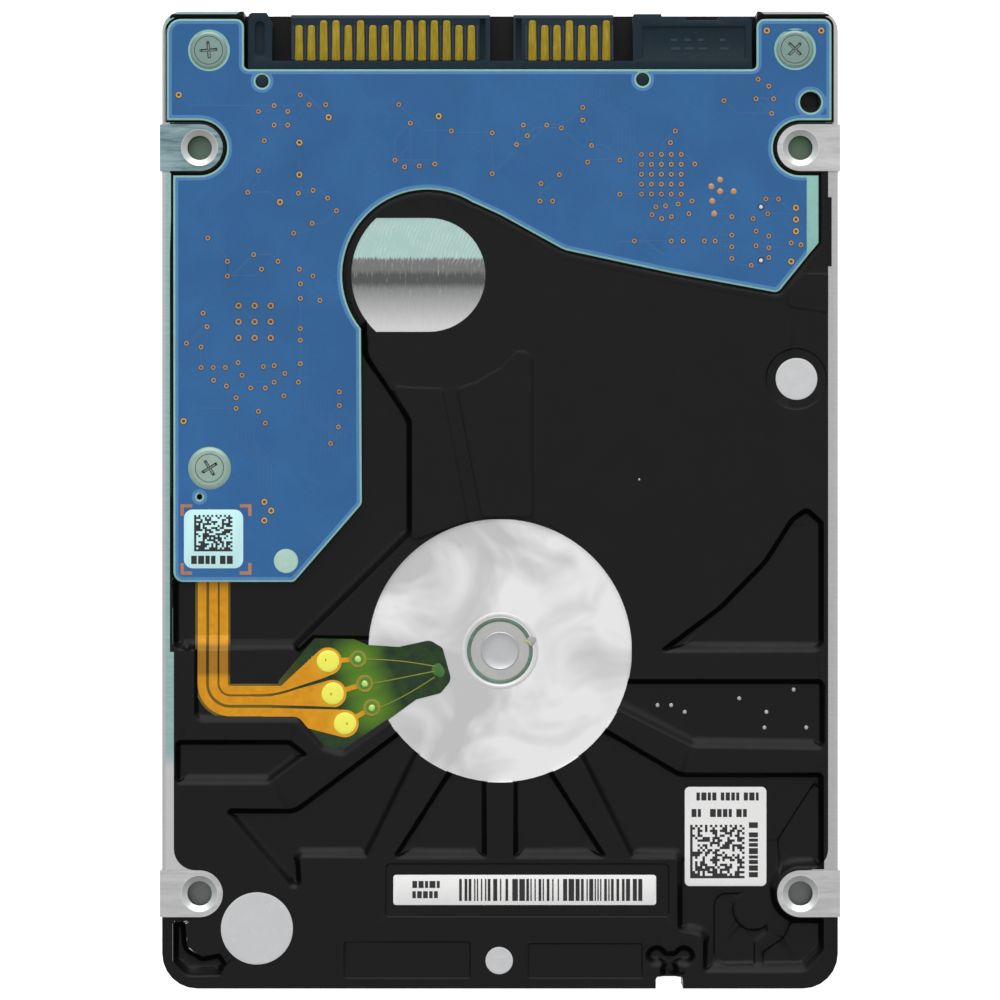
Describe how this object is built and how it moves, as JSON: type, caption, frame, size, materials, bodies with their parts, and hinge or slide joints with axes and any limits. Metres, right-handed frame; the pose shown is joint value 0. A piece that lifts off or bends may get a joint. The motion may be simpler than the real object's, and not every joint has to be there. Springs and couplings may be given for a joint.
{
  "type": "hard disk drive",
  "caption": "Slim rectangular hard disk drive with an exposed circuit board, an edge connector, a sealed disk chamber, a spinning disk and a swinging head arm.",
  "frame": {"origin": "centre of the footprint on the cover face", "axes": "+Z out of the circuit board side, +Y towards the connector end, +X to the right seen from the board side"},
  "size_m": [0.0698, 0.1004, 0.007],
  "materials": {
    "casting_coat": "black electrocoat, bare where machined",
    "cover_sheet": "satin stamped sheet",
    "gasket_rubber": "matte",
    "screw_steel": "machined",
    "label_film": "blank printed film",
    "board_mask": "blue solder mask",
    "via_copper": "copper pads",
    "chip_resin": "moulded epoxy",
    "passive_ceramic": "fired ceramic",
    "insulator_film": "polyimide film",
    "board_screw_steel": "nickel plated",
    "connector_plastic": "glass filled polymer, slate black",
    "contact_gold": "gold plated",
    "coverlay_film": "dark green translucent film",
    "flex_copper": "copper under amber film",
    "solder_yellow": "coated solder joint",
    "foil": "satin adhesive foil",
    "paper_label": null,
    "board_label_film": null,
    "bearing_bronze": "sintered bronze",
    "thrust_steel": "ground",
    "glue": "cured epoxy fillet",
    "lamination": "stamped laminations",
    "magnet_wire": "enamelled copper wire",
    "hub_aluminium": "turned",
    "shaft_steel": "ground",
    "rotor_ferrite": "bonded magnet",
    "platter_mirror": "polished",
    "clamp_steel": "stamped",
    "ball_steel": "polished",
    "pivot_steel": "ground",
    "arm_aluminium": "milled",
    "suspension_steel": "spring foil",
    "slider_ceramic": "lapped ceramic",
    "coil_wire": "bonded copper wire",
    "frame_polymer": "moulded polymer",
    "yoke_nickel": "nickel plated",
    "magnet_nickel": "nickel plated",
    "stop_rubber": "moulded",
    "ramp_polymer": "moulded acetal",
    "latch_polymer": "moulded polymer",
    "polyimide_flex": "polyimide circuit",
    "bracket_polymer": "moulded polymer",
    "header_polymer": "moulded polymer",
    "filter_fibre": "electret fibre",
    "carbon_filter": "carbon fibre pad"
  },
  "bodies": {
    "chassis": {"base_casting": "casting_coat", "top_cover": "cover_sheet", "cover_gasket": "gasket_rubber", "cover_screws": "screw_steel", "cover_label": "label_film", "circuit_board": "board_mask", "board_vias": "via_copper", "controller_chip": "chip_resin", "memory_chip": "chip_resin", "motor_driver_chip": "chip_resin", "board_passives": "passive_ceramic", "board_insulator": "insulator_film", "board_screws_flat": "board_screw_steel", "board_screw_pan": "board_screw_steel", "connector_housing": "connector_plastic", "power_contacts": "contact_gold", "signal_contacts": "contact_gold", "motor_flex_film": "coverlay_film", "motor_flex_traces": "flex_copper", "motor_flex_joints": "solder_yellow", "foil_seals": "foil", "barcode_label": "paper_label", "matrix_label": "paper_label", "board_label": "board_label_film", "bearing_sleeve": "bearing_bronze", "thrust_cap": "thrust_steel", "bearing_glue": "glue", "stator_core": "lamination", "stator_coils": "magnet_wire", "pivot_shaft": "shaft_steel", "pivot_balls": "ball_steel", "yoke_cover_side": "yoke_nickel", "yoke_deck_side": "yoke_nickel", "drive_magnets": "magnet_nickel", "yoke_posts": "yoke_nickel", "crash_stops": "stop_rubber", "load_ramp": "ramp_polymer", "ramp_screw": "screw_steel", "latch_pin": "shaft_steel", "actuator_flex": "polyimide_flex", "flex_bracket": "bracket_polymer", "head_header": "header_polymer", "recirculation_filter": "filter_fibre", "breather_filter": "carbon_filter"},
    "rotor": {"spindle_hub": "hub_aluminium", "spindle_shaft": "shaft_steel", "rotor_magnet": "rotor_ferrite", "disk_platter": "platter_mirror", "disk_clamp": "clamp_steel", "clamp_screw": "screw_steel"},
    "actuator": {"pivot_sleeve": "pivot_steel", "actuator_arms": "arm_aluminium", "head_suspensions": "suspension_steel", "head_sliders": "slider_ceramic", "voice_coil": "coil_wire", "coil_frame": "frame_polymer"},
    "latch": {"latch_lever": "latch_polymer"}
  },
  "joints": [
    {"name": "spindle_spin", "type": "hinge", "parent": "chassis", "child": "rotor", "pos_m": [0, -0.0155, 0.0023], "axis": [0, 0, 1], "continuous": true},
    {"name": "actuator_swing", "type": "hinge", "parent": "chassis", "child": "actuator", "pos_m": [-0.00733, 0.02312, 0.0023], "axis": [0, 0, 1], "range_deg": [-34, 0]},
    {"name": "latch_swing", "type": "hinge", "parent": "chassis", "child": "latch", "pos_m": [-0.0306, 0.0165, 0.0024], "axis": [0, 0, 1], "range_deg": [-6.5, 0]}
  ]
}
